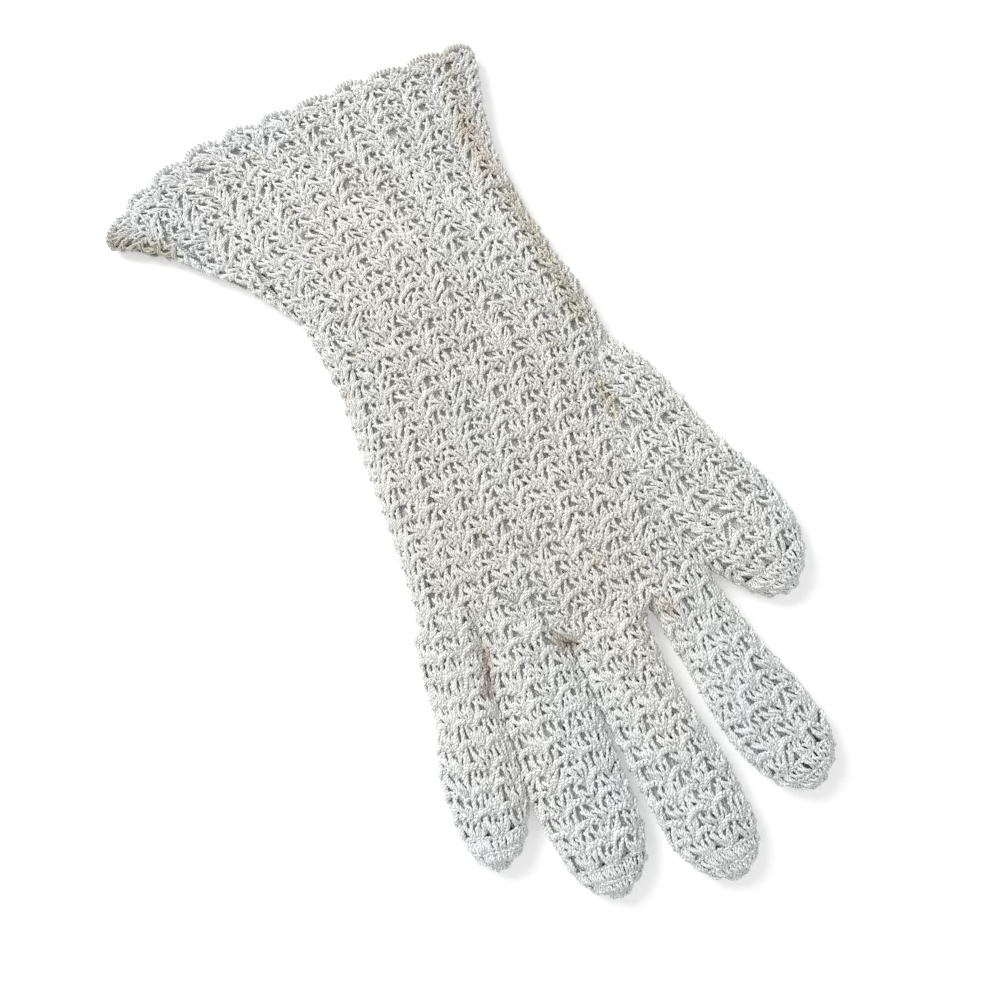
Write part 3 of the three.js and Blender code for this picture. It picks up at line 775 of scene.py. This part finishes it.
def tint(points, heights):
    """Share of light the cotton sends back at points, by colour: its tones and stains, and painted
    shade on the deep strands.
    """
    tone = np.ones(points.shape)
    x, y = points[..., 0] / TONE_SPAN, points[..., 1]
    warm = WARMTH_DRIFT * tone_drifts[0](x, WARMTH_PACE * y)
    tone[..., 0] += warm
    tone[..., 2] -= warm
    tone += (TONE_DRIFT * tone_drifts[1](x, TONE_PACE * y))[..., None]
    cool = np.clip(near(points, WARM_START, WARM_END) / WARM_REACH - WARM_FLAT, 0, 1)
    tone *= WARM_TONE + cool[..., None] * (COOL_TONE - WARM_TONE)
    # Painted shade: strands that lie deep between the stitches are darkened
    tone *= (1 - DEEP_SHADE * np.clip(DEEP_HEIGHT - heights, 0, DEEP_SPAN))[..., None]
    above = np.clip(points[..., 2] / STAIN_HEIGHT, STAIN_LEAST, 1)
    for stain in zip(*STAINS.values()):
        start, end = np.array(stain[:2]), np.array(stain[2:4])
        weight = stain[5] * above * np.exp(-(near(points, start, end) / stain[4]) ** 2)
        tone *= 1 - weight[..., None] * (1 - np.array(stain[6:]))
    for place, reach, strength, colour in zip(
            spot_places, spot_reach, spot_strength, spot_colours):
        distance = np.linalg.norm(points[..., :2] - place, axis=-1)
        weight = strength * above * np.exp(-(distance / reach) ** 2)
        tone *= 1 - weight[..., None] * (1 - colour)
    return tone * rng.normal(1, STRAND_TONE, (len(points), 1, 1))


# Meshes of threads

# Lowest heights over the floor of a thread's underside, of a patch and of any point
THREAD_FLOOR = 0.03
PATCH_FLOOR = 0.05
LEAST_FLOOR = 0.02

# A chain is the strand with more points than this. It is thicker, with one side fewer.
MOST_LEG_POINTS = 8
CHAIN_THICKNESS = 1.06
THICKNESS_STRAY = 0.07


def strand_lengths(centres):
    """Length along each strand, from a start of its own."""
    steps = np.linalg.norm(np.diff(centres, axis=1), axis=2)
    length = np.concatenate([np.zeros((len(centres), 1)), np.cumsum(steps, axis=1)], axis=1)
    return length + rng.uniform(0, 10, (len(centres), 1))


def tubes(centres, normals, heights, sides):
    """Tubes round centrelines, as grids: vertices, length, share round, colour."""
    centres[..., 2] = np.maximum(centres[..., 2], THREAD + THREAD_FLOOR)
    chain = centres.shape[1] > MOST_LEG_POINTS
    sides -= chain
    share = np.arange(sides + 1) / sides
    tangent = np.gradient(centres, axis=1)
    tangent /= np.linalg.norm(tangent, axis=2, keepdims=True) + 1e-9
    side = np.cross(tangent, normals)
    side /= np.linalg.norm(side, axis=2, keepdims=True) + 1e-9
    up = np.cross(side, tangent)
    angle = 2 * math.pi * share[:-1, None]
    around = np.cos(angle) * side[:, :, None] + np.sin(angle) * up[:, :, None]
    thickness = CHAIN_THICKNESS if chain else 1
    radius = THREAD * rng.normal(thickness, THICKNESS_STRAY, (len(centres), 1, 1, 1))
    points = centres[:, :, None] + radius * around
    colour = np.repeat(tint(centres, heights)[:, :, None], sides, axis=2)
    return points, strand_lengths(centres), share, colour


def patches(points, heights):
    """Fluted patches, as grids like those of the tubes."""
    points[..., 2] = np.maximum(points[..., 2], PATCH_FLOOR)
    middle = points[:, :, points.shape[2] // 2]
    share = np.linspace(0, 2, points.shape[2])
    count, rows, columns = heights.shape
    colour = tint(points.reshape(count, -1, 3), heights.reshape(count, -1))
    return points, strand_lengths(middle), share, colour.reshape(points.shape)


def grid_faces(shape, closed, start):
    """Quads between neighbours in grids of vertices, as places in the list of vertices."""
    index = start + np.arange(np.prod(shape)).reshape(shape)
    following = np.roll(index, -1, axis=2) if closed else index[:, :, 1:]
    index = index if closed else index[:, :, :-1]
    quads = [index[:, :-1], following[:, :-1], following[:, 1:], index[:, 1:]]
    return np.stack(quads, axis=-1).reshape(-1, 4)


def thread_places(length, share):
    """Length along the thread and share round it, at the corners of the quads."""
    along = np.broadcast_to(length[:, :, None], (*length.shape, len(share)))
    place = np.stack([along, np.broadcast_to(share, along.shape)], axis=-1)
    corners = [place[:, :-1, :-1], place[:, :-1, 1:], place[:, 1:, 1:], place[:, 1:, :-1]]
    return np.stack(corners, axis=3).reshape(-1, 2)


def stitch_mesh(name, parts, sides):
    """One mesh of the tubes and patches of many stitches."""
    vertices, faces, threads, tints, start = [], [], [], [], 0
    for kind, points, normals, heights in parts:
        closed = kind == "tube"
        grid = tubes(points, normals, heights, sides) if closed else patches(points, heights)
        points, length, share, colour = grid
        vertices.append(points.reshape(-1, 3))
        tints.append(colour.reshape(-1, 3))
        faces.append(grid_faces(points.shape[:3], closed, start))
        threads.append(thread_places(length, share))
        start += len(vertices[-1])
    vertices, faces, tints = (np.concatenate(v) for v in (vertices, faces, tints))
    vertices[:, 2] = np.maximum(vertices[:, 2], LEAST_FLOOR)
    mesh = bpy.data.meshes.new(name)
    mesh.vertices.add(len(vertices))
    mesh.vertices.foreach_set("co", (vertices * MM).astype(np.float32).ravel())
    mesh.loops.add(faces.size)
    mesh.loops.foreach_set("vertex_index", faces.astype(np.int32).ravel())
    mesh.polygons.add(len(faces))
    mesh.polygons.foreach_set("loop_start", np.arange(0, faces.size, 4, dtype=np.int32))
    mesh.update(calc_edges=True)
    mesh.shade_smooth()
    layer = mesh.uv_layers.new(name="thread")
    layer.uv.foreach_set("vector", np.concatenate(threads).astype(np.float32).ravel())
    # The tint colours carry tones and stains, and painted shade on deep strands
    colours = mesh.color_attributes.new("tint", "FLOAT_COLOR", "POINT")
    filled = np.concatenate([tints, np.ones((len(tints), 1))], axis=1)
    colours.data.foreach_set("color", filled.astype(np.float32).ravel())
    return mesh


def piece(name, parts, nodes, material, sides=5):
    """A piece of crochet that stands for nodes of the solids."""
    mesh = stitch_mesh(name, parts, sides)
    thing = bpy.data.objects.new(name, mesh)
    bpy.context.scene.collection.objects.link(thing)
    mesh.materials.append(material)
    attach(thing, "root")
    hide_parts(*nodes)


# Cotton

# Plies of the thread, and millimetres along it for one turn of them
PLY_PITCH = 2.7
PLIES = 3

# Fuzz: how fine its noise is, how much detail it has and how much painted shade it puts into the
# colour where it is low
FUZZ_SCALE = 2600
FUZZ_DETAIL = 2
FUZZ_SHADE = 0.40

# Share of light sent back where the plies are at mid height and the fuzz is lowest: the level from
# which the plies' grooves are painted darker and higher fuzz lighter
MIDDLE_SHADE = 0.75
COTTON_ROUGHNESS = 0.85
COTTON_SHEEN = 0.25
BUMP_STRENGTH = 0.9
BUMP_DISTANCE = 0.16 * MM


def math_node(nodes, links, operation, first, second=None):
    """A math node with its inputs linked or set."""
    node = nodes.new("ShaderNodeMath")
    node.operation = operation
    for socket, value in zip(node.inputs, (first, second)):
        if isinstance(value, (int, float)):
            socket.default_value = value
        elif value is not None:
            links.new(value, socket)
    return node.outputs[0]


def multiply_colour(nodes, links, first, second):
    """The product of a colour and a colour or number."""
    mix = nodes.new("ShaderNodeMix")
    mix.data_type = "RGBA"
    mix.blend_type = "MULTIPLY"
    mix.inputs["Factor"].default_value = 1
    for socket, value in ((mix.inputs[6], first), (mix.inputs[7], second)):
        if isinstance(value, tuple):
            socket.default_value = (*value, 1)
        else:
            links.new(value, socket)
    return mix.outputs[2]


def ply_height(nodes, links):
    """Height of the plies that wind round the thread, 0 in their grooves and 1 on top."""
    place = nodes.new("ShaderNodeUVMap")
    place.uv_map = "thread"
    split = nodes.new("ShaderNodeSeparateXYZ")
    links.new(place.outputs["UV"], split.inputs[0])
    along = math_node(nodes, links, "MULTIPLY", split.outputs["X"], 2 * math.pi * PLIES / PLY_PITCH)
    turned = math_node(nodes, links, "MULTIPLY", split.outputs["Y"], 2 * math.pi * PLIES)
    wave = math_node(nodes, links, "SINE", math_node(nodes, links, "ADD", along, turned))
    return math_node(nodes, links, "MULTIPLY", math_node(nodes, links, "ADD", wave, 1.0), 0.5)


def fuzz_height(nodes, links):
    """Height of the fine fuzz on the cotton, between 0 and 1."""
    coordinates = nodes.new("ShaderNodeTexCoord")
    texture = nodes.new("ShaderNodeTexNoise")
    texture.inputs["Scale"].default_value = FUZZ_SCALE
    texture.inputs["Detail"].default_value = FUZZ_DETAIL
    links.new(coordinates.outputs["Object"], texture.inputs["Vector"])
    return texture.outputs["Fac"]


def cotton(name, colour, contrast):
    """Matt cotton thread with plies, fuzz and stains, with painted shade in the plies' grooves and
    where the fuzz is low. Contrast is how much painted shade the plies get.
    """
    material = bpy.data.materials.new(name)
    material.use_nodes = True
    nodes, links = material.node_tree.nodes, material.node_tree.links
    shader = nodes["Principled BSDF"]
    shader.inputs["Roughness"].default_value = COTTON_ROUGHNESS
    shader.inputs["Sheen Weight"].default_value = COTTON_SHEEN
    ply = ply_height(nodes, links)
    fuzz = fuzz_height(nodes, links)
    # Painted shade: the colour is darker in the plies' grooves and where the fuzz is low
    ply_shade = math_node(nodes, links, "MULTIPLY", ply, contrast)
    fuzz_shade = math_node(nodes, links, "MULTIPLY", fuzz, FUZZ_SHADE)
    shade = math_node(nodes, links, "ADD", ply_shade, fuzz_shade)
    shade = math_node(nodes, links, "ADD", shade, MIDDLE_SHADE - contrast / 2)
    # The tint holds tones and stains, and painted shade on deep strands
    stains_and_painted_shade = nodes.new("ShaderNodeVertexColor")
    stains_and_painted_shade.layer_name = "tint"
    tinted = multiply_colour(nodes, links, colour, stains_and_painted_shade.outputs["Color"])
    links.new(multiply_colour(nodes, links, tinted, shade), shader.inputs["Base Color"])
    bump = nodes.new("ShaderNodeBump")
    bump.inputs["Strength"].default_value = BUMP_STRENGTH
    bump.inputs["Distance"].default_value = BUMP_DISTANCE
    links.new(math_node(nodes, links, "ADD", ply, fuzz), bump.inputs["Height"])
    links.new(bump.outputs["Normal"], shader.inputs["Normal"])
    return material


hand_cotton = cotton("hand_crochet", (0.91, 0.91, 0.905), 0.42)
finger_cotton = cotton("finger_crochet", (0.96, 0.965, 0.96), 0.46)
cuff_cotton = cotton("cuff_crochet", (0.935, 0.935, 0.93), 0.36)


# Pieces

# Each face of the hand and cuff: name, whether it looks up, and how many sides its threads have
FACES = (("back", True, 5), ("palm", False, 4))

# The hand's rows end before the knuckle line, and past it near the fingers' crotches and the
# little finger's side, as shares of a row
ROWS_SHORT = 0.1
ROWS_PAST = 0.35
CROTCH_REACH = 4

# How far the thumb's shells reach in over the hand, and how far behind the knuckle line the
# fingers' shells begin, as a share of a row
THUMB_OVER_HAND = 6
FINGER_START = 0.5


def knuckle_y(x):
    """How far along the knuckle line lies, at places across."""
    line = knuckle_line + np.array(WRIST_PLACE)
    return np.interp(x, line[:, 0], line[:, 1])


def even_rows(top, base, rows, start_count, end_count):
    """Rows from the base to the top, each ending where the next begins."""
    edges = np.linspace(base, top, rows + 1)
    counts = np.linspace(start_count, end_count, rows)
    counts = np.append(counts, counts[-1])
    return [
        {"base": a, "top": b, "count": count, "next_count": following}
        for a, b, count, following in zip(edges, edges[1:], counts, counts[1:])
    ]


def shell_parts(surface, places, back=True):
    """Shells at places on a surface, with the far side of their stitches or without it."""
    backs = shell_backs(SHELL_ARCH, SHELL_SLIT) if back else ()
    return lay(surface, places, shell_strands(SHELL_FAN, SHELL_ARCH), backs)


def make_faces(name, surface, places, reached, nodes, material):
    """The back and the palm of a flat tube, as far as a test of x and y says."""
    for face, upper, sides in FACES:
        def kept(centre, normal, upper=upper):
            facing = (normal[:, 2] > 0) if upper else (normal[:, 2] < 0)
            return reached(centre[:, 0], centre[:, 1]) & facing

        parts = shell_parts(surface, kept_places(surface, places, kept), upper)
        piece(f"{name}_{face}", parts, nodes, material, sides)


def make_hand():
    surface = hand_surface()
    wrist = WRIST_OVERLAP * HAND_LENGTH
    rows = even_rows(wrist, wrist + HAND_LENGTH, HAND_ROWS, HAND_SHELLS, HAND_SHELLS)
    crotches = knuckle_line[1:, 0] + WRIST_PLACE[0]

    def before_knuckles(x, y):
        closeness = np.exp(-(np.abs(x[:, None] - crotches).min(axis=1) / CROTCH_REACH) ** 2)
        past = (ROWS_PAST * closeness - ROWS_SHORT) * HAND_LENGTH / HAND_ROWS
        return y < knuckle_y(x) + past

    places = stitch_places(rows)
    make_faces("hand", surface, places, before_knuckles, ["hand"], hand_cotton)


def make_cuff():
    surface = cuff_surface()
    wrist = surface.reach[-1] - WRIST_OVERLAP * HAND_LENGTH
    hem = wrist - CUFF_LENGTH

    def everywhere(x, y):
        return np.full(len(x), True)

    places = stitch_places(even_rows(hem, wrist, CUFF_ROWS, HAND_SHELLS, CUFF_SHELLS))
    nodes = ["gauntlet_cuff"]
    make_faces("cuff", surface, places, everywhere, nodes, cuff_cotton)
    edge = stitch_places([{"base": hem, "top": hem - EDGING_DEPTH, "count": CUFF_SHELLS}])
    strands = shell_strands(HEM_FAN, HEM_ARCH, loops=5, reach=0.18)
    parts = lay(surface, edge, strands, shell_backs(HEM_ARCH, 0.0))
    piece("hem_shells", parts, ["hem_edging"], cuff_cotton)


def tube_stitches(surface, keep):
    """Shells along a finger or thumb and plain rounds over its tip."""
    tip = surface.reach[-1]
    length = tip - TIP_LENGTH
    rows = even_rows(0.0, length, round(length / FINGER_ROW), FINGER_SHELLS, FINGER_SHELLS)
    places = kept_places(surface, stitch_places(rows), keep)
    parts = shell_parts(surface, places)
    edges = length + TIP_LENGTH * np.array(TIP_EDGES)
    for k, (count, raised) in enumerate(TIP_ROUNDS):
        tip_round = {"base": edges[k + 1], "top": edges[k], "count": count}
        parts += lay(surface, stitch_places([tip_round]), plain_strands(raised))
    return parts


def make_finger(k):
    name = FINGERS[k]["name"]

    def beyond(centre, normal):
        return centre[:, 1] > knuckle_y(centre[:, 0]) - FINGER_START * FINGER_ROW

    parts = tube_stitches(finger_surface(k), beyond)
    piece(name + "_shells", parts, [name], finger_cotton)


def make_thumb():
    def beyond(centre, normal):
        along = (centre[:, 1] - WRIST_PLACE[1]) / HAND_LENGTH
        return centre[:, 0] < hand_section(along)["left"] + WRIST_PLACE[0] + THUMB_OVER_HAND

    parts = tube_stitches(thumb_surface(), beyond)
    piece("thumb_shells", parts, ["thumb"], finger_cotton)


make_hand()
make_cuff()
for k in range(len(FINGERS)):
    make_finger(k)
make_thumb()


# Floor, light and camera

# In metres, except the camera's places, its sensor and its lens
FLOOR_REACH = 6.0
FLOOR_GREY = 0.93
FLOOR_ROUGHNESS = 0.9
FLOOR_GLOW = 0.25
SKY_STRENGTH = 0.62
LAMP_SIZE = 0.6
LAMP_POWER = 8.5
LAMP_PLACE = (0.35, -0.75, 0.65)
CAMERA_PLACE = (28.2, 58.7, 274.4)
CAMERA_TARGET = (1.97, 9.43, 0.0)
CAMERA_UP = (-0.469, -0.883, 0)
CAMERA_SENSOR = 36
CAMERA_LENS = 36


def make_floor():
    mesh = bpy.data.meshes.new("floor")
    signs = ((-1, -1), (1, -1), (1, 1), (-1, 1))
    corners = [(x * FLOOR_REACH, y * FLOOR_REACH, 0) for x, y in signs]
    mesh.from_pydata(corners, [], [(0, 1, 2, 3)])
    floor = bpy.data.objects.new("floor", mesh)
    bpy.context.scene.collection.objects.link(floor)
    material = bpy.data.materials.new("floor")
    material.use_nodes = True
    shader = material.node_tree.nodes["Principled BSDF"]
    shader.inputs["Base Color"].default_value = (FLOOR_GREY, FLOOR_GREY, FLOOR_GREY, 1)
    shader.inputs["Roughness"].default_value = FLOOR_ROUGHNESS
    shader.inputs["Emission Color"].default_value = (1, 1, 1, 1)
    shader.inputs["Emission Strength"].default_value = FLOOR_GLOW
    mesh.materials.append(material)


def make_light():
    world = bpy.data.worlds.new("studio")
    world.use_nodes = True
    background = world.node_tree.nodes["Background"]
    background.inputs["Color"].default_value = (1, 1, 1, 1)
    background.inputs["Strength"].default_value = SKY_STRENGTH
    bpy.context.scene.world = world
    light = bpy.data.lights.new("key", "AREA")
    light.shape = "DISK"
    light.size = LAMP_SIZE
    light.energy = LAMP_POWER
    lamp = bpy.data.objects.new("key", light)
    lamp.location = LAMP_PLACE
    lamp.rotation_euler = (-lamp.location).to_track_quat("-Z", "Y").to_euler()
    bpy.context.scene.collection.objects.link(lamp)


def make_camera():
    place = Vector(CAMERA_PLACE) * MM
    target = Vector(CAMERA_TARGET) * MM
    forward = (target - place).normalized()
    right = forward.cross(Vector(CAMERA_UP)).normalized()
    up = right.cross(forward)
    camera = bpy.data.cameras.new("camera")
    camera.sensor_width = CAMERA_SENSOR
    camera.lens = CAMERA_LENS
    camera.clip_start = 0.01
    holder = bpy.data.objects.new("camera", camera)
    turn = Matrix((right, up, -forward)).transposed().to_4x4()
    holder.matrix_world = Matrix.Translation(place) @ turn
    bpy.context.scene.collection.objects.link(holder)
    bpy.context.scene.camera = holder


make_floor()
make_light()
make_camera()
bpy.context.scene.view_settings.view_transform = "Standard"
